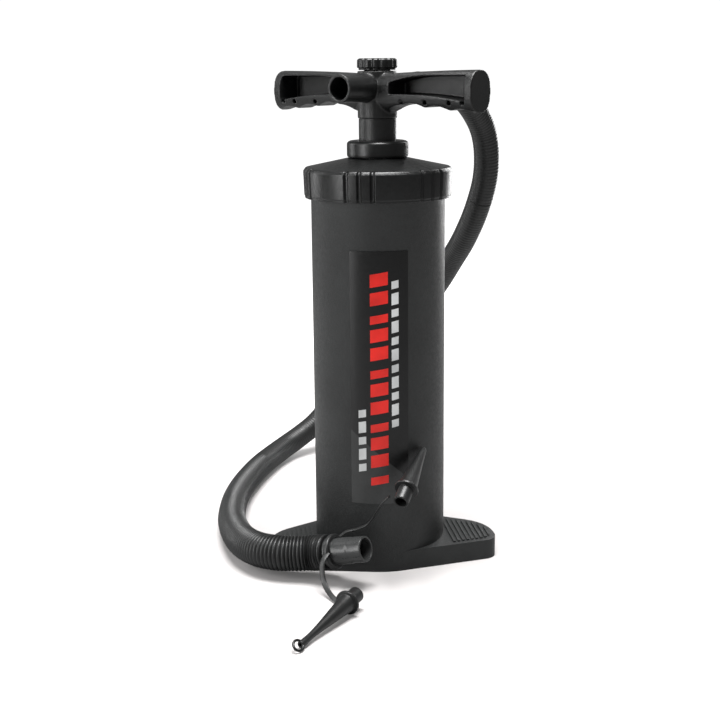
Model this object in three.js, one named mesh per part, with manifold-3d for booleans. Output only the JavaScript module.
// Double action hand pump: a tall barrel on a foot plate, a screw cap with a rod gland,
// a hollow rod with a valved piston, a T handle with two air ports, and a ribbed hose
// with a connector and two leashed nozzles.
// Millimetres. +Z is up, the floor is z = 0, the barrel's axis is the Z axis, the foot's
// wings lie along X, and the foot's straight edge and the label face -Y.

import * as THREE from 'three';
import { mergeVertices } from 'three/addons/utils/BufferGeometryUtils.js';
import Module from 'manifold-3d';

const wasm = await Module();
wasm.setup();

const RAD = Math.PI / 180;
const GAP = 0.3;

// Barrel
const BARREL_R = 48.8;
const BORE_R = 46.3;
const BARREL_TOP = 289;
const BARREL_FLOOR = 6;
const FLOOR_THICK = 3;
const BARREL_SIDES = 48;

// Foot wings, each a tangent wing off the barrel
const FOOT_HEIGHT = 15;
const FOOT_WALL = 2.5;
const SPINE_HALF = 1.5;
const SPINE_REACH_X = 80;
const SPINE_REACH_Y = 46;
const FOOT_HUB_R = 7;
const FRONT_TANGENT = 11.2 * RAD;
const BACK_TANGENT = 30.6 * RAD;
const WING_FRONT_CORNER = [76, 33.6];
const WING_TIP_CORNER = [84.8, 31.9];
const WING_TIP = [85.6, 21];
const WING_TIP_PULL = [86.5, -3];
const WING_BACK = [70, -14.1];
const TREAD_FIRST_X = 52;
const TREAD_PITCH = 3.6;
const TREAD_COUNT = 9;
const TREAD_WIDTH = 1.9;
const TREAD_HEIGHT = 0.9;
const TREAD_INSET = 4;

// Label
const LABEL_AZIMUTH = -7.5;
const LABEL_HALF_ANGLE = 24.8;
const LABEL_THICK = 0.3;
const LABEL_LOW = 53;
const LABEL_HIGH = 238;

// Screw cap
const CAP_LOW = 271.8;
const CAP_SHOULDER = 291.5;
const CAP_EDGE = 293.5;
const CAP_TOP = 300.4;
const CAP_R_LOW = 53.1;
const CAP_R = 54.2;
const CAP_EDGE_R = 52.4;
const CAP_NECK_R = 20;
const CAP_THREAD_R = 49.7;
const CAP_ROOF = 290.6;
const CAP_BORE_R = 17.5;
const NOTCH_GROUPS = 6;
const NOTCH_PITCH = 10.2;
const NOTCH_AZIMUTH = -22;
const NOTCH_WIDTH = 2.2;
const NOTCH_DEPTH = 1.3;
const GASKET_THICK = 1;

// Rod gland on the cap
const COLLAR_R = 22.3;
const COLLAR_LOW = 300.7;
const COLLAR_TOP = 312.3;
const BUSH_R = 17.2;
const BUSH_FLANGE_R = 19.6;
const BUSH_LOW = 286;
const SEAL_LOW = 304;
const SEAL_HIGH = 308.5;
const SEAL_R = 17.5;

// Rod
const ROD_R = 13.5;
const ROD_BORE_R = 11.6;
const ROD_LOW = 36.3;
const ROD_HIGH = 331;
const ROD_FLANGE_R = 17.5;
const ROD_FLANGE_THICK = 3;
const INNER_R = 6.4;
const INNER_BORE_R = 5;
const INNER_LOW = 24;
const INNER_HIGH = 340;
const BUMPER_LOW = 278;
const BUMPER_R = 24;

// Piston
const PISTON_R = 45.1;
const PISTON_LOW = 13.5;
const PLATE_THICK = 3;
const PISTON_SPLIT = 24;
const PISTON_TOP = 36;
const PISTON_WALL = 3;
const PISTON_SIDES = 36;
const RING_R = 46;
const RING_GROOVE_R = 41.7;
const RING_HALF = 3;
const VALVE_OFFSET = 27;
const VALVE_DISC_R = 8.5;
const VALVE_DISC_THICK = 0.9;
const VALVE_STEM_R = 1.6;
const VALVE_BULB_R = 2.8;
const VALVE_TRAVEL = 1;
const VALVE_HOLE_R = 1.8;
const VALVE_HOLE_RING = 5;
const VALVE_HOLES = 4;
const SCREW_RING = 33;
const SCREW_R = 1.6;
const SCREW_HEAD_R = 3.2;
const SCREW_COUNT = 3;

// Handle, turned about the rod's axis from the foot
const HANDLE_TURN = -45;
const HANDLE_HALF = 88;
const HANDLE_DEPTH = 25;
const HANDLE_TOP = 361.7;
const HANDLE_BOTTOM = 332.4;
const HANDLE_WAIST = 337.9;
const HANDLE_SADDLE = 2.4;
const HANDLE_SQUARENESS = 0.82;
const HUB_R = 14.2;
const HUB_LOW = 328;
const HUB_TOP = 361.2;
const HUB_CHAMBER_R = 11.6;
const HUB_SOCKET_R = 8.6;
const HUB_FLOOR = 331.3;
const HUB_ROOF = 358;
const PORT_Z = 349.6;
const PORT_R = 10;
const PORT_BORE_R = 7.8;
const PORT_REACH = 44;
const DUCT_WALL = 1.4;
const FINGER_PITCH = 20;
const FINGER_FIRST = 38;
const FINGER_COUNT = 3;
const FINGER_DEPTH = 2.4;
const RECESS_WALL = 2.6;
const RECESS_BACK = 3;
const RECESS_NEAR = 19;
const RECESS_FAR = 82;
const RECESS_DROP_NEAR = 5;
const RECESS_FLOOR_NEAR = 13;
const RECESS_FLOOR_FAR = 18;
const RECESS_CORNER = 2;
const PIN_HOLES = [29, 49, 69, 80];
const PIN_HOLE_R = 1.7;
const PIN_HOLE_RISE = 7.3;
const PIN_HOLE_DEPTH = 8;

// Knob that closes the hub
const KNOB_R = 14.6;
const KNOB_LOW = 361.8;
const KNOB_TOP = 370;
const KNOB_FLUTES = 14;
const KNOB_FLUTE_R = 1.3;
const STUD_R = 9;
const STUD_TOP = 366;

// Hose
const HOSE_R = 10.8;
const HOSE_SIDES = 10;
const HOSE_STEPS = 36;
const HOSE_CUT_X = -47;
const HOSE_REACH = 400;
const CUFF_R = 10.6;
const CUFF_PLUG_R = 7.5;
const CUFF_BORE_R = 5.6;
const CUFF_START = 36;
const CUFF_END = 57.8;
// The hose's own route from the cuff's end to the connector's ring
const HOSE_ROUTE = [
  [41.1, 41.1, 349.6],
  [54, 54, 349.5],
  [66.5, 66.5, 347.2],
  [78.5, 78.5, 340.2],
  [89.5, 89.5, 329],
  [98.5, 98.5, 314.5],
  [103, 104, 297.5],
  [104, 111, 275],
  [100, 122, 249],
  [93.5, 143, 221],
  [87.5, 168, 199],
  [80, 196, 174],
  [68, 228, 145],
  [50, 253, 115],
  [26, 269, 84],
  [-1, 275, 54],
  [-26, 268, 28],
  [-40.5, 260.5, 19],
  [-54, 249, 13.5],
  [-69, 224.5, 11.2],
  [-83, 192.5, 11.2],
  [-94, 160.5, 11.2],
  [-101.5, 134, 11.2],
  [-107.5, 106, 11.2],
  [-111, 79, 11.3],
  [-112.5, 53, 11.6],
  [-111.5, 30, 12.4],
  [-109, 9, 13.6],
  [-105.5, -9, 15],
  [-99.5, -25.5, 16.4],
  [-91, -38.5, 17.6],
  [-80, -46.5, 18.4],
  [-68, -50.5, 19],
  [-57, -53.5, 20],
  [-49.5, -58, 21.4],
  [-45.6, -60.9, 22.5],
];

// Connector, leash and nozzles
const CONNECTOR_FROM = [-45.2, -61.2, 22.7];
const CONNECTOR_AIM = [0.79, -0.57, 0.25];
const CONNECTOR_LENGTH = 31;
const CONNECTOR_R = 9.3;
const CONNECTOR_BORE_R = 7.7;
const CONNECTOR_FLANGE_R = 10.8;
const CONNECTOR_FLANGE = 2;
const LEASH_R = 12.9;
const LEASH_FROM = 2.4;
const LEASH_WIDTH = 4;
const STRAP_HALF_WIDTH = 2;
const STRAP_HALF_THICK = 0.8;
const STRAP_STEPS = 22;
const UPPER_STRAP = [
  [-38, -55.5, 31],
  [-32, -54.5, 35],
  [-24, -55.5, 37],
  [-17, -58, 41],
  [-13.5, -63, 47.5],
  [-11, -69, 55],
  [-8, -74, 62.5],
  [-3.6, -77, 68],
];
const LOWER_STRAP = [
  [-47.5, -73, 26.5],
  [-51.5, -77.5, 22],
  [-52.5, -81, 15.5],
  [-51.5, -85.5, 9],
  [-48.5, -93, 4.2],
  [-44.5, -103, 2.6],
  [-42, -111, 4.6],
];
const UPPER_NOZZLE_MOUTH = [8.4, -76.4, 72.1];
const UPPER_NOZZLE_TIP = [26.2, -44.5, 91.9];
const LOWER_NOZZLE_MOUTH = [-38.6, -121, 9.2];
const LOWER_NOZZLE_TIP = [-75, -171, 3];
const NOZZLE_SPIGOT_R = 5.5;
const NOZZLE_FLANGE_R = 8.6;
const NOZZLE_WALL = 1.3;
const SPIGOT_LENGTH = 12;
const FLANGE_THICK = 2;

const blackPlastic = (shade, roughness) => new THREE.MeshStandardMaterial({
  color: new THREE.Color(shade, shade, shade),
  roughness,
  metalness: 0,
});

// ---- solids -------------------------------------------------------------------------

function solid(geometry) {
  const bare = geometry.clone();
  bare.deleteAttribute('normal');
  bare.deleteAttribute('uv');
  const merged = mergeVertices(bare, 1e-4);
  const index = [];
  const corners = merged.index.array;
  for (let i = 0; i < corners.length; i += 3) {
    const [a, b, c] = [corners[i], corners[i + 1], corners[i + 2]];
    if (a !== b && b !== c && c !== a) {
      index.push(a, b, c);
    }
  }
  const made = fromArrays(merged.attributes.position.array, index);
  if (made.volume() > 0) {
    return made;
  }
  const flipped = [];
  for (let i = 0; i < index.length; i += 3) {
    flipped.push(index[i], index[i + 2], index[i + 1]);
  }
  return fromArrays(merged.attributes.position.array, flipped);
}

function fromArrays(positions, index) {
  return new wasm.Manifold(new wasm.Mesh({
    numProp: 3,
    vertProperties: new Float32Array(positions),
    triVerts: new Uint32Array(index),
  }));
}

function geometryOf(manifold) {
  const mesh = manifold.getMesh();
  const geometry = new THREE.BufferGeometry();
  geometry.setAttribute('position', new THREE.BufferAttribute(mesh.vertProperties, 3));
  geometry.setIndex(new THREE.BufferAttribute(mesh.triVerts, 1));
  geometry.computeVertexNormals();
  return geometry;
}

function joined(solids) {
  return solids.reduce((all, one) => all.add(one));
}

function cut(body, tools) {
  return tools.reduce((left, tool) => left.subtract(tool), body);
}

// A profile of [radius, height] pairs turned about the Z axis
function turned(profile, sides = 28) {
  const points = profile.map(([r, z]) => new THREE.Vector2(r, z));
  const geometry = new THREE.LatheGeometry(points, sides);
  geometry.rotateX(Math.PI / 2);
  return geometry;
}

function tube(inner, outer, low, high, sides = 28) {
  return turned([[inner, low], [outer, low], [outer, high], [inner, high], [inner, low]], sides);
}

function disc(radius, low, high, sides = 28) {
  return turned([[0, low], [radius, low], [radius, high], [0, high]], sides);
}

// An outline in X and Y raised from low to high
function raised(shape, low, high, curveSegments = 12) {
  const geometry = new THREE.ExtrudeGeometry(shape, {
    depth: high - low,
    bevelEnabled: false,
    curveSegments,
  });
  geometry.translate(0, 0, low);
  return geometry;
}

// An outline in X and Z made as thick as depth, centred on y = 0
function sideways(shape, depth, curveSegments = 12) {
  const geometry = new THREE.ExtrudeGeometry(shape, { depth, bevelEnabled: false, curveSegments });
  geometry.rotateX(Math.PI / 2);
  geometry.translate(0, depth / 2, 0);
  return geometry;
}

function box(x0, x1, y0, y1, z0, z1) {
  const geometry = new THREE.BoxGeometry(x1 - x0, y1 - y0, z1 - z0);
  geometry.translate((x0 + x1) / 2, (y0 + y1) / 2, (z0 + z1) / 2);
  return geometry;
}

// Moves a geometry made about the Z axis so that its Z axis starts at from and aims at aim
function aimed(geometry, from, aim) {
  const direction = new THREE.Vector3(...aim).normalize();
  const turn = new THREE.Quaternion().setFromUnitVectors(new THREE.Vector3(0, 0, 1), direction);
  geometry.applyQuaternion(turn);
  geometry.translate(...from);
  return geometry;
}

function vectorBetween(from, to) {
  return new THREE.Vector3(...to).sub(new THREE.Vector3(...from));
}

function along(points, section, steps) {
  const curve = new THREE.CatmullRomCurve3(points.map((p) => new THREE.Vector3(...p)), false, 'centripetal');
  return new THREE.ExtrudeGeometry(section, { steps, extrudePath: curve, bevelEnabled: false });
}

function polygonSection(radius, sides) {
  const shape = new THREE.Shape();
  for (let i = 0; i < sides; i++) {
    const angle = (i / sides) * 2 * Math.PI;
    const place = [radius * Math.cos(angle), radius * Math.sin(angle)];
    if (i === 0) {
      shape.moveTo(...place);
    } else {
      shape.lineTo(...place);
    }
  }
  shape.closePath();
  return shape;
}

// ---- barrel and foot ------------------------------------------------------------------

// One wing's outline, to the right, grown or shrunk by an offset; y is towards the front
function wingOutline(offset) {
  const reach = BARREL_R + offset;
  const out = ([x, y]) => [x + offset, y];
  const front = [reach * Math.sin(FRONT_TANGENT), reach * Math.cos(FRONT_TANGENT)];
  const back = [reach * Math.sin(BACK_TANGENT), -reach * Math.cos(BACK_TANGENT)];
  const shape = new THREE.Shape();
  shape.moveTo(0, back[1]);
  shape.lineTo(back[0], back[1]);
  shape.lineTo(WING_BACK[0] + offset, WING_BACK[1] - offset);
  shape.quadraticCurveTo(...out(WING_TIP_PULL), ...out(WING_TIP));
  shape.quadraticCurveTo(
    WING_TIP_CORNER[0] + offset,
    WING_TIP_CORNER[1] + offset,
    WING_FRONT_CORNER[0] + offset,
    WING_FRONT_CORNER[1] + offset,
  );
  shape.lineTo(front[0], front[1]);
  shape.lineTo(0, front[1]);
  shape.closePath();
  return shape;
}

function wing(offset, low, high, side) {
  const geometry = raised(wingOutline(offset), low, high, 8);
  geometry.scale(side, -1, 1);
  return solid(geometry);
}

function treadRibs(side) {
  const inside = wing(-TREAD_INSET, FOOT_HEIGHT - 1, FOOT_HEIGHT + TREAD_HEIGHT, side);
  const bars = [];
  for (let i = 0; i < TREAD_COUNT; i++) {
    const middle = side * (TREAD_FIRST_X + i * TREAD_PITCH);
    bars.push(solid(box(
      middle - TREAD_WIDTH / 2,
      middle + TREAD_WIDTH / 2,
      -BARREL_R,
      BARREL_R,
      FOOT_HEIGHT - 1,
      FOOT_HEIGHT + TREAD_HEIGHT,
    )));
  }
  return joined(bars).intersect(inside);
}

function barrelSolid() {
  const shell = solid(turned([
    [0, BARREL_FLOOR],
    [BORE_R, BARREL_FLOOR],
    [BORE_R, 0],
    [BARREL_R, 0],
    [BARREL_R, BARREL_TOP],
    [BORE_R, BARREL_TOP],
    [BORE_R, BARREL_FLOOR + FLOOR_THICK],
    [0, BARREL_FLOOR + FLOOR_THICK],
  ], BARREL_SIDES));
  const wings = [1, -1].map((side) => wing(0, 0, FOOT_HEIGHT, side));
  const hollows = [1, -1].map((side) => wing(-FOOT_WALL, -1, FOOT_HEIGHT - FOOT_WALL, side));
  const aboveFloor = solid(disc(BORE_R, BARREL_FLOOR + FLOOR_THICK, BARREL_TOP, BARREL_SIDES));
  const hub = solid(disc(FOOT_HUB_R, 0, BARREL_FLOOR + 1, 16));
  const spines = [
    solid(box(-SPINE_REACH_X, SPINE_REACH_X, -SPINE_HALF, SPINE_HALF, 0, FOOT_HEIGHT - 1)),
    solid(box(-SPINE_HALF, SPINE_HALF, -SPINE_REACH_Y, SPINE_REACH_Y, 0, BARREL_FLOOR + 1)),
  ];
  const plate = cut(joined(wings), [...hollows]);
  const body = joined([shell, plate, hub, ...spines]);
  return cut(body, [aboveFloor]).add(treadRibs(1)).add(treadRibs(-1));
}

function labelSolid() {
  const inner = BARREL_R + GAP;
  const outer = inner + LABEL_THICK;
  const middle = (LABEL_AZIMUTH - 90) * RAD;
  const half = LABEL_HALF_ANGLE * RAD;
  const shape = new THREE.Shape();
  shape.absarc(0, 0, outer, middle - half, middle + half, false);
  shape.absarc(0, 0, inner, middle + half, middle - half, true);
  shape.closePath();
  return solid(raised(shape, LABEL_LOW, LABEL_HIGH, 12));
}

// ---- screw cap and rod gland ------------------------------------------------------------

function capNotches() {
  const tools = [];
  for (let group = 0; group < NOTCH_GROUPS; group++) {
    for (let step = -1; step <= 1; step++) {
      const azimuth = NOTCH_AZIMUTH + group * (360 / NOTCH_GROUPS) + step * NOTCH_PITCH;
      const tool = box(
        -NOTCH_WIDTH / 2,
        NOTCH_WIDTH / 2,
        -CAP_R - 1,
        -CAP_R + NOTCH_DEPTH,
        CAP_LOW - 1,
        CAP_EDGE + 1,
      );
      tool.rotateZ(azimuth * RAD);
      tools.push(solid(tool));
    }
  }
  return joined(tools);
}

function capSolid() {
  const shell = solid(turned([
    [CAP_THREAD_R, CAP_LOW],
    [CAP_R_LOW, CAP_LOW],
    [CAP_R, CAP_SHOULDER],
    [CAP_EDGE_R, CAP_EDGE],
    [CAP_NECK_R, CAP_TOP],
    [CAP_BORE_R, CAP_TOP],
    [CAP_BORE_R, CAP_TOP - 7],
    [BORE_R - 5, CAP_ROOF],
    [CAP_THREAD_R, CAP_ROOF],
    [CAP_THREAD_R, CAP_LOW],
  ], BARREL_SIDES));
  return cut(shell, [capNotches()]);
}

function collarSolid() {
  return solid(turned([
    [SEAL_R + GAP, COLLAR_LOW],
    [COLLAR_R, COLLAR_LOW],
    [COLLAR_R, COLLAR_TOP - 1.4],
    [COLLAR_R - 1.4, COLLAR_TOP],
    [ROD_R + GAP, COLLAR_TOP],
    [ROD_R + GAP, SEAL_HIGH + GAP],
    [SEAL_R + GAP, SEAL_HIGH + GAP],
    [SEAL_R + GAP, COLLAR_LOW],
  ]));
}

function bushingSolid() {
  return solid(turned([
    [ROD_R + GAP, BUSH_LOW],
    [BUSH_FLANGE_R, BUSH_LOW],
    [BUSH_FLANGE_R, BUSH_LOW + 2.5],
    [BUSH_R, BUSH_LOW + 2.5],
    [BUSH_R, SEAL_LOW - GAP],
    [ROD_R + GAP, SEAL_LOW - GAP],
    [ROD_R + GAP, BUSH_LOW],
  ]));
}

// ---- rod and piston ------------------------------------------------------------------------

function rodOuterSolid() {
  return solid(turned([
    [ROD_BORE_R, ROD_LOW],
    [ROD_FLANGE_R, ROD_LOW],
    [ROD_FLANGE_R, ROD_LOW + ROD_FLANGE_THICK],
    [ROD_R, ROD_LOW + ROD_FLANGE_THICK],
    [ROD_R, HUB_LOW - GAP],
    [ROD_R - 1, HUB_LOW - GAP],
    [ROD_R - 1, ROD_HIGH],
    [ROD_BORE_R, ROD_HIGH],
    [ROD_BORE_R, ROD_LOW],
  ]));
}

// The stem hole and the ring of air holes that one valve covers, all through one plate
function valveHoles(side, low, high) {
  const tools = [];
  const stem = disc(VALVE_STEM_R + GAP, low - 1, high + 1, 10);
  stem.translate(side * VALVE_OFFSET, 0, 0);
  tools.push(solid(stem));
  for (let i = 0; i < VALVE_HOLES; i++) {
    const angle = (i / VALVE_HOLES) * 2 * Math.PI;
    const hole = disc(VALVE_HOLE_R, low - 1, high + 1, 6);
    hole.translate(
      side * VALVE_OFFSET + VALVE_HOLE_RING * Math.cos(angle),
      VALVE_HOLE_RING * Math.sin(angle),
      0,
    );
    tools.push(solid(hole));
  }
  return tools;
}

function screwHoles(low, high) {
  const tools = [];
  for (let i = 0; i < SCREW_COUNT; i++) {
    const hole = disc(SCREW_R + GAP, low, high, 12);
    hole.translate(...screwPlace(i), 0);
    tools.push(solid(hole));
  }
  return tools;
}

function screwPlace(i) {
  const angle = (i / SCREW_COUNT) * 2 * Math.PI + Math.PI / 2;
  return [SCREW_RING * Math.cos(angle), SCREW_RING * Math.sin(angle)];
}

function pistonLowerSolid() {
  const cup = solid(turned([
    [0, PISTON_LOW],
    [PISTON_R, PISTON_LOW],
    [PISTON_R, PISTON_SPLIT - RING_HALF - GAP],
    [RING_GROOVE_R - GAP, PISTON_SPLIT - RING_HALF - GAP],
    [RING_GROOVE_R - GAP, PISTON_SPLIT],
    [RING_GROOVE_R - PISTON_WALL, PISTON_SPLIT],
    [RING_GROOVE_R - PISTON_WALL, PISTON_LOW + PLATE_THICK],
    [0, PISTON_LOW + PLATE_THICK],
  ], PISTON_SIDES));
  const posts = [];
  for (let i = 0; i < SCREW_COUNT; i++) {
    const post = disc(SCREW_HEAD_R, PISTON_LOW + 1, PISTON_SPLIT, 12);
    post.translate(...screwPlace(i), 0);
    posts.push(solid(post));
  }
  const socket = solid(disc(INNER_R + 3, PISTON_LOW + 1, PISTON_SPLIT, 20));
  const socketBore = solid(disc(INNER_R + GAP, INNER_LOW - 6, PISTON_SPLIT + 1, 20));
  const wall = solid(box(-1.2, 1.2, -RING_GROOVE_R + 1, RING_GROOVE_R - 1, PISTON_LOW + 1, PISTON_SPLIT));
  const window = solid(box(0, INNER_R + 4, -2.5, 2.5, PISTON_LOW + PLATE_THICK + 1, PISTON_SPLIT - 2));
  const body = joined([cup, ...posts, socket, wall]);
  return cut(body, [
    socketBore,
    window,
    ...valveHoles(1, PISTON_LOW, PISTON_LOW + PLATE_THICK),
    ...valveHoles(-1, PISTON_LOW, PISTON_LOW + PLATE_THICK),
    ...screwHoles(PISTON_LOW + PLATE_THICK + 1, PISTON_SPLIT + 1),
  ]);
}

function pistonUpperSolid() {
  const lid = solid(turned([
    [0, PISTON_TOP],
    [PISTON_R, PISTON_TOP],
    [PISTON_R, PISTON_SPLIT + RING_HALF + GAP],
    [RING_GROOVE_R - GAP, PISTON_SPLIT + RING_HALF + GAP],
    [RING_GROOVE_R - GAP, PISTON_SPLIT + GAP],
    [RING_GROOVE_R - PISTON_WALL, PISTON_SPLIT + GAP],
    [RING_GROOVE_R - PISTON_WALL, PISTON_TOP - PLATE_THICK],
    [0, PISTON_TOP - PLATE_THICK],
  ], PISTON_SIDES));
  const wall = solid(box(
    -1.2,
    1.2,
    -RING_GROOVE_R + 1,
    RING_GROOVE_R - 1,
    PISTON_SPLIT + GAP,
    PISTON_TOP - 1,
  ));
  const wallBreak = solid(disc(INNER_R + 2, PISTON_SPLIT - 1, PISTON_TOP - PLATE_THICK, 20));
  const innerBore = solid(disc(INNER_R + GAP, PISTON_SPLIT - 1, PISTON_TOP + 1, 20));
  const airSlot = solid(box(-ROD_BORE_R + 0.5, -INNER_R - 1, -3, 3, PISTON_SPLIT - 1, PISTON_TOP + 1));
  return cut(joined([lid, wall]), [
    wallBreak,
    innerBore,
    airSlot,
    ...valveHoles(1, PISTON_TOP - PLATE_THICK, PISTON_TOP),
    ...valveHoles(-1, PISTON_TOP - PLATE_THICK, PISTON_TOP),
    ...screwHoles(PISTON_SPLIT - 1, PISTON_TOP + 1),
  ]);
}

// An umbrella valve with its disc above a plate of PLATE_THICK whose lower face is at z = 0
function valveSolid() {
  const seat = PLATE_THICK + GAP / 2;
  const bulbTop = -VALVE_TRAVEL - GAP;
  return solid(turned([
    [0, bulbTop - 2.2],
    [VALVE_BULB_R * 0.6, bulbTop - 2.2],
    [VALVE_BULB_R, bulbTop - 1],
    [VALVE_BULB_R, bulbTop],
    [VALVE_STEM_R, bulbTop],
    [VALVE_STEM_R, seat],
    [VALVE_DISC_R, seat],
    [VALVE_DISC_R, seat + 0.4],
    [VALVE_STEM_R, seat + VALVE_DISC_THICK],
    [0, seat + VALVE_DISC_THICK],
  ], 16));
}

function screwSolid() {
  return solid(turned([
    [0, PISTON_LOW + PLATE_THICK + 2],
    [SCREW_R, PISTON_LOW + PLATE_THICK + 2],
    [SCREW_R, PISTON_TOP + GAP],
    [SCREW_HEAD_R, PISTON_TOP + GAP],
    [SCREW_HEAD_R, PISTON_TOP + 1.6],
    [SCREW_HEAD_R - 0.8, PISTON_TOP + 2.2],
    [0, PISTON_TOP + 2.2],
  ], 12));
}

// ---- handle -----------------------------------------------------------------------------------

// The handle's side view: level top, finger grooves below, and arcs down to the neck
function handleSideShape() {
  const lowest = HANDLE_BOTTOM;
  const waist = HANDLE_WAIST;
  const shape = new THREE.Shape();
  const right = gripUnderside(lowest, waist);
  shape.moveTo(-HANDLE_HALF, HANDLE_TOP);
  shape.lineTo(-HANDLE_HALF, lowest);
  for (const [x, z] of [...right].reverse()) {
    shape.lineTo(-x, z);
  }
  shape.quadraticCurveTo(-HUB_R, waist - 0.6, -HUB_R + 1, HUB_LOW + 1);
  shape.lineTo(HUB_R - 1, HUB_LOW + 1);
  shape.quadraticCurveTo(HUB_R, waist - 0.6, right[0][0], right[0][1]);
  for (const [x, z] of right.slice(1)) {
    shape.lineTo(x, z);
  }
  shape.lineTo(HANDLE_HALF, lowest);
  shape.lineTo(HANDLE_HALF, HANDLE_TOP);
  shape.quadraticCurveTo(HANDLE_HALF * 0.55, HANDLE_TOP - 0.4, HUB_R, HANDLE_TOP - HANDLE_SADDLE);
  shape.lineTo(-HUB_R, HANDLE_TOP - HANDLE_SADDLE);
  shape.quadraticCurveTo(-HANDLE_HALF * 0.55, HANDLE_TOP - 0.4, -HANDLE_HALF, HANDLE_TOP);
  shape.closePath();
  return shape;
}

// Points under one grip, from the hub outwards, with a shallow groove for each finger
function gripUnderside(lowest, waist) {
  const points = [];
  const steps = 5;
  const start = FINGER_FIRST - FINGER_PITCH / 2;
  for (let i = 0; i <= FINGER_COUNT * steps; i++) {
    const x = start + (i / steps) * FINGER_PITCH;
    const drop = (x - start) / (HANDLE_HALF - start);
    const level = waist + (lowest - waist) * drop;
    const groove = FINGER_DEPTH * Math.sin((Math.PI * (i % steps)) / steps);
    points.push([x, level + groove]);
  }
  return points;
}

// The grip's rounded section, a little deeper than it is wide, run from end to end
function gripBar() {
  const half = HANDLE_DEPTH / 2;
  const middle = (HANDLE_TOP + HANDLE_BOTTOM) / 2;
  const rise = (HANDLE_TOP - HANDLE_BOTTOM) / 2;
  const shape = new THREE.Shape();
  const points = 24;
  for (let i = 0; i < points; i++) {
    const angle = (i / points) * 2 * Math.PI;
    const x = half * Math.sign(Math.cos(angle)) * Math.abs(Math.cos(angle)) ** HANDLE_SQUARENESS;
    const y = rise * Math.sign(Math.sin(angle)) * Math.abs(Math.sin(angle)) ** HANDLE_SQUARENESS;
    if (i === 0) {
      shape.moveTo(x, y);
    } else {
      shape.lineTo(x, y);
    }
  }
  shape.closePath();
  const geometry = new THREE.ExtrudeGeometry(shape, { depth: 2 * HANDLE_HALF, bevelEnabled: false });
  geometry.translate(0, 0, -HANDLE_HALF);
  geometry.rotateX(Math.PI / 2);
  geometry.rotateZ(Math.PI / 2);
  geometry.translate(0, 0, middle);
  return solid(geometry);
}

// The open recess in the front of one grip, as a side view
function recessShape(side) {
  const top = HANDLE_TOP - RECESS_WALL - 1;
  const near = RECESS_NEAR;
  const far = RECESS_FAR;
  const middle = (near + far) / 2;
  const floorNear = top - RECESS_FLOOR_NEAR;
  const floorFar = top - RECESS_FLOOR_FAR;
  const shape = new THREE.Shape();
  shape.moveTo(side * near, top - RECESS_DROP_NEAR);
  shape.quadraticCurveTo(side * (near + 14), top - 0.4, side * middle, top);
  shape.lineTo(side * (far - RECESS_CORNER), top);
  shape.quadraticCurveTo(side * far, top, side * far, top - RECESS_CORNER);
  shape.lineTo(side * far, floorFar + RECESS_CORNER);
  shape.quadraticCurveTo(side * far, floorFar, side * (far - RECESS_CORNER), floorFar + 0.6);
  shape.quadraticCurveTo(side * middle, floorNear + 0.6, side * near, floorNear);
  shape.closePath();
  return shape;
}

function recess(side) {
  const depth = HANDLE_DEPTH - RECESS_BACK;
  const geometry = sideways(recessShape(side), depth, 6);
  geometry.translate(0, -RECESS_BACK - 0.5, 0);
  return solid(geometry);
}

function acrossY(radius, from, to, sides) {
  const geometry = new THREE.CylinderGeometry(radius, radius, to - from, sides);
  geometry.translate(0, (from + to) / 2, 0);
  return geometry;
}

function portTube(radius, from, to) {
  const geometry = acrossY(radius, from, to, 24);
  geometry.translate(0, 0, PORT_Z);
  return solid(geometry);
}

function pinHole(x) {
  const geometry = acrossY(PIN_HOLE_R, -HANDLE_DEPTH / 2 - 1, -HANDLE_DEPTH / 2 + PIN_HOLE_DEPTH, 8);
  geometry.translate(x, 0, HANDLE_BOTTOM + PIN_HOLE_RISE);
  return solid(geometry);
}

function handleSolid() {
  const side = solid(sideways(handleSideShape(), HANDLE_DEPTH + 4, 10));
  const grips = side.intersect(gripBar().add(solid(disc(HUB_R, HUB_LOW, HUB_TOP))));
  const hub = solid(disc(HUB_R, HUB_LOW, HUB_TOP));
  const stud = solid(disc(STUD_R, HUB_TOP - 1, STUD_TOP, 24));
  const ports = portTube(PORT_R, -PORT_REACH, PORT_REACH);
  const outer = joined([grips, hub, stud, ports]);
  const socketWall = solid(disc(HUB_SOCKET_R, HUB_LOW + 4, HUB_ROOF + 1, 24));
  const frontDuct = portTube(PORT_BORE_R + DUCT_WALL, -HUB_R, 0);
  const chamber = solid(disc(HUB_CHAMBER_R, HUB_FLOOR, HUB_ROOF, 28));
  const rodSocket = solid(disc(ROD_R - 1 + GAP, HUB_LOW - 1, HUB_FLOOR + 1, 28));
  const tubeSocket = solid(disc(INNER_R + GAP, HUB_LOW - 1, INNER_HIGH + 1, 20));
  const tubeWay = solid(disc(INNER_BORE_R, INNER_HIGH, PORT_Z, 20));
  return cut(outer, [
    cut(chamber, [socketWall, frontDuct]),
    rodSocket,
    tubeSocket,
    tubeWay,
    portTube(PORT_BORE_R, -PORT_REACH - 1, 0),
    portTube(PORT_BORE_R, HUB_SOCKET_R + 0.5, PORT_REACH + 1),
    recess(1),
    recess(-1),
    ...PIN_HOLES.flatMap((x) => [pinHole(x), pinHole(-x)]),
  ]);
}

// ---- knob ----------------------------------------------------------------------------------------

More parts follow.
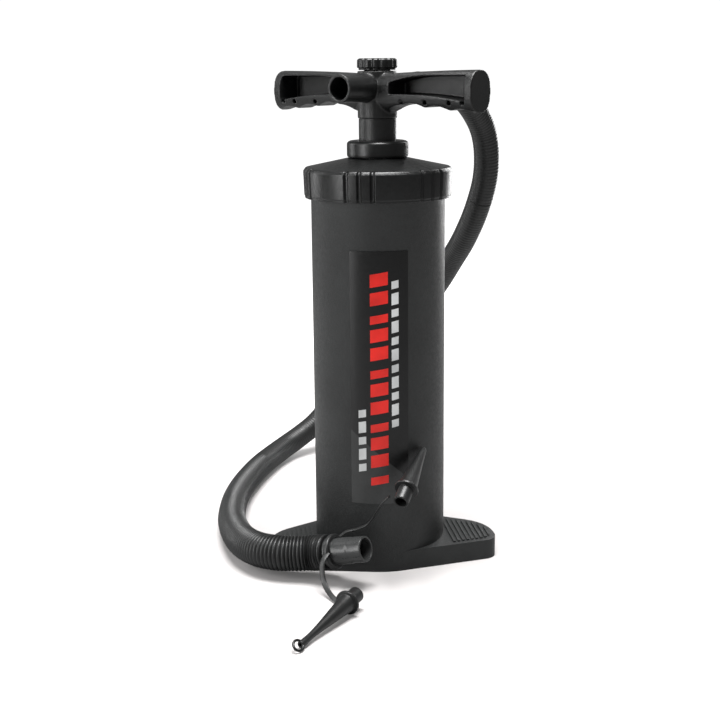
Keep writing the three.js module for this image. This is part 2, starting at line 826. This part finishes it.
function knobSolid() {
  const cup = solid(turned([
    [STUD_R + GAP + 0.2, KNOB_LOW],
    [KNOB_R, KNOB_LOW],
    [KNOB_R, KNOB_TOP - 1],
    [KNOB_R - 1, KNOB_TOP],
    [0, KNOB_TOP],
    [0, STUD_TOP + 1 + 2 * GAP],
    [STUD_R + GAP + 0.2, STUD_TOP + 1 + 2 * GAP],
    [STUD_R + GAP + 0.2, KNOB_LOW],
  ], 28));
  const flutes = [];
  for (let i = 0; i < KNOB_FLUTES; i++) {
    const flute = disc(KNOB_FLUTE_R, KNOB_LOW - 1, KNOB_TOP + 1, 6);
    const angle = (i / KNOB_FLUTES) * 2 * Math.PI;
    flute.translate((KNOB_R + 0.3) * Math.cos(angle), (KNOB_R + 0.3) * Math.sin(angle), 0);
    flutes.push(solid(flute));
  }
  return cut(cup, flutes);
}

// ---- hose, connector, leash and nozzles ------------------------------------------------------------

// The whole hose, cut by an upright plane where it comes down to the floor behind the foot
function hoseSolid(onFloor) {
  const whole = solid(along(HOSE_ROUTE, polygonSection(HOSE_R, HOSE_SIDES), HOSE_STEPS));
  const cutX = onFloor ? HOSE_CUT_X - GAP : HOSE_CUT_X;
  const hung = solid(box(cutX, HOSE_REACH, 0, HOSE_REACH, 0, HOSE_REACH));
  return onFloor ? whole.subtract(hung) : whole.intersect(hung);
}

// The cuff is a plug in the rear port with a shoulder that the hose butts against
function cuffGeometry() {
  return turned([
    [CUFF_BORE_R, CUFF_START],
    [CUFF_PLUG_R, CUFF_START],
    [CUFF_PLUG_R, PORT_REACH + GAP],
    [CUFF_R, PORT_REACH + GAP],
    [CUFF_R, CUFF_END],
    [CUFF_BORE_R, CUFF_END],
    [CUFF_BORE_R, CUFF_START],
  ], 24);
}

function connectorSolid() {
  const geometry = turned([
    [CONNECTOR_BORE_R - 1.2, 0],
    [CONNECTOR_FLANGE_R, 0],
    [CONNECTOR_FLANGE_R, CONNECTOR_FLANGE],
    [CONNECTOR_R + 0.3, CONNECTOR_FLANGE],
    [CONNECTOR_R, CONNECTOR_LENGTH],
    [CONNECTOR_BORE_R, CONNECTOR_LENGTH],
    [CONNECTOR_BORE_R - 1.2, 0],
  ], 28);
  return solid(aimed(geometry, CONNECTOR_FROM, CONNECTOR_AIM));
}

function strapSolid(points) {
  const section = new THREE.Shape();
  section.moveTo(-STRAP_HALF_THICK, -STRAP_HALF_WIDTH);
  section.lineTo(STRAP_HALF_THICK, -STRAP_HALF_WIDTH);
  section.lineTo(STRAP_HALF_THICK, STRAP_HALF_WIDTH);
  section.lineTo(-STRAP_HALF_THICK, STRAP_HALF_WIDTH);
  section.closePath();
  return solid(along(points, section, STRAP_STEPS));
}

function leashSolid() {
  const ring = tube(CONNECTOR_R + 2 * GAP, LEASH_R, LEASH_FROM, LEASH_FROM + LEASH_WIDTH, 28);
  return joined([
    solid(aimed(ring, CONNECTOR_FROM, CONNECTOR_AIM)),
    strapSolid(UPPER_STRAP),
    strapSolid(LOWER_STRAP),
  ]);
}

// A nozzle from its open mouth to its tip: spigot, flange, cone and small tip hole
function nozzleSolid(mouth, tip, bodyProfile) {
  const aim = vectorBetween(mouth, tip);
  const length = aim.length();
  const flangeEnd = SPIGOT_LENGTH + FLANGE_THICK;
  const outer = [
    [NOZZLE_SPIGOT_R, 0],
    [NOZZLE_SPIGOT_R, SPIGOT_LENGTH],
    [NOZZLE_FLANGE_R, SPIGOT_LENGTH],
    [NOZZLE_FLANGE_R, flangeEnd],
    ...bodyProfile.map(([r, share]) => [r, flangeEnd + share * (length - flangeEnd)]),
  ];
  const last = outer[outer.length - 1];
  const tipBore = last[0] - 0.8;
  const inner = [
    [tipBore, length],
    [tipBore, length * 0.8],
    [NOZZLE_SPIGOT_R - NOZZLE_WALL, flangeEnd],
    [NOZZLE_SPIGOT_R - NOZZLE_WALL, 0],
    [NOZZLE_SPIGOT_R, 0],
  ];
  return solid(aimed(turned([...outer, ...inner], 20), mouth, aim.toArray()));
}

// ---- the assembly --------------------------------------------------------------------------------------

const group = new THREE.Group();

function add(parent, name, shape, shade = 0.06, roughness = 0.5) {
  const mesh = new THREE.Mesh(geometryOf(shape), blackPlastic(shade, roughness));
  mesh.name = name;
  parent.add(mesh);
  return mesh;
}

add(group, 'barrel', barrelSolid());
add(group, 'label', labelSolid(), 0.03, 0.35);

add(group, 'cap_gasket', solid(tube(BORE_R, BARREL_R, BARREL_TOP + GAP, BARREL_TOP + GAP + GASKET_THICK, BARREL_SIDES)));
add(group, 'barrel_cap', capSolid());
add(group, 'gland_collar', collarSolid());
add(group, 'rod_bushing', bushingSolid(), 0.5);
add(group, 'rod_seal', solid(tube(ROD_R + GAP, SEAL_R, SEAL_LOW, SEAL_HIGH)), 0.03, 0.7);
add(group, 'top_bumper', solid(tube(ROD_R + GAP, BUMPER_R, BUMPER_LOW, BUSH_LOW - GAP)), 0.03, 0.7);

add(group, 'rod_outer_tube', rodOuterSolid());
add(group, 'rod_inner_tube', solid(tube(INNER_BORE_R, INNER_R, INNER_LOW - 5.5, INNER_HIGH, 24)), 0.5);
add(group, 'piston_lower', pistonLowerSolid());
add(group, 'piston_upper', pistonUpperSolid());
add(group, 'piston_ring', solid(tube(
  RING_GROOVE_R,
  RING_R,
  PISTON_SPLIT - RING_HALF,
  PISTON_SPLIT + RING_HALF,
  PISTON_SIDES,
)), 0.03, 0.7);

// Each plate has one valve that opens out of the piston and one that opens into it
const valves = [
  ['valve_top_out', 1, PISTON_TOP - PLATE_THICK, 1],
  ['valve_top_in', -1, PISTON_TOP, -1],
  ['valve_bottom_out', 1, PISTON_LOW + PLATE_THICK, -1],
  ['valve_bottom_in', -1, PISTON_LOW, 1],
];
for (const [name, side, level, way] of valves) {
  const valve = add(group, name, valveSolid(), 0.4, 0.7);
  valve.position.set(side * VALVE_OFFSET, 0, level);
  valve.rotation.x = way > 0 ? 0 : Math.PI;
}

for (let i = 0; i < SCREW_COUNT; i++) {
  const screw = add(group, `piston_screw_${i + 1}`, screwSolid(), 0.6, 0.3);
  screw.position.set(...screwPlace(i), 0);
}

const handleGroup = new THREE.Group();
handleGroup.rotation.z = HANDLE_TURN * RAD;
group.add(handleGroup);
add(handleGroup, 'handle', handleSolid());
add(handleGroup, 'knob_gasket', solid(disc(STUD_R - 0.5, STUD_TOP + GAP, STUD_TOP + GAP + 1, 24)), 0.03, 0.7);
add(handleGroup, 'knob', knobSolid(), 0.04, 0.4);
const cuff = add(handleGroup, 'hose_cuff', solid(cuffGeometry()));
cuff.position.z = PORT_Z;
cuff.rotation.x = -Math.PI / 2;

add(group, 'hose', hoseSolid(false));
add(group, 'hose_on_floor', hoseSolid(true));
add(group, 'hose_connector', connectorSolid(), 0.08, 0.35);
add(group, 'nozzle_leash', leashSolid());
add(group, 'nozzle_upper', nozzleSolid(UPPER_NOZZLE_MOUTH, UPPER_NOZZLE_TIP, [[7, 0], [2.4, 1]]), 0.08, 0.35);
add(group, 'nozzle_lower', nozzleSolid(
  LOWER_NOZZLE_MOUTH,
  LOWER_NOZZLE_TIP,
  [[6.4, 0], [5.4, 0.2], [3, 0.6], [2.2, 0.8], [2.6, 1]],
), 0.08, 0.35);

export default group;
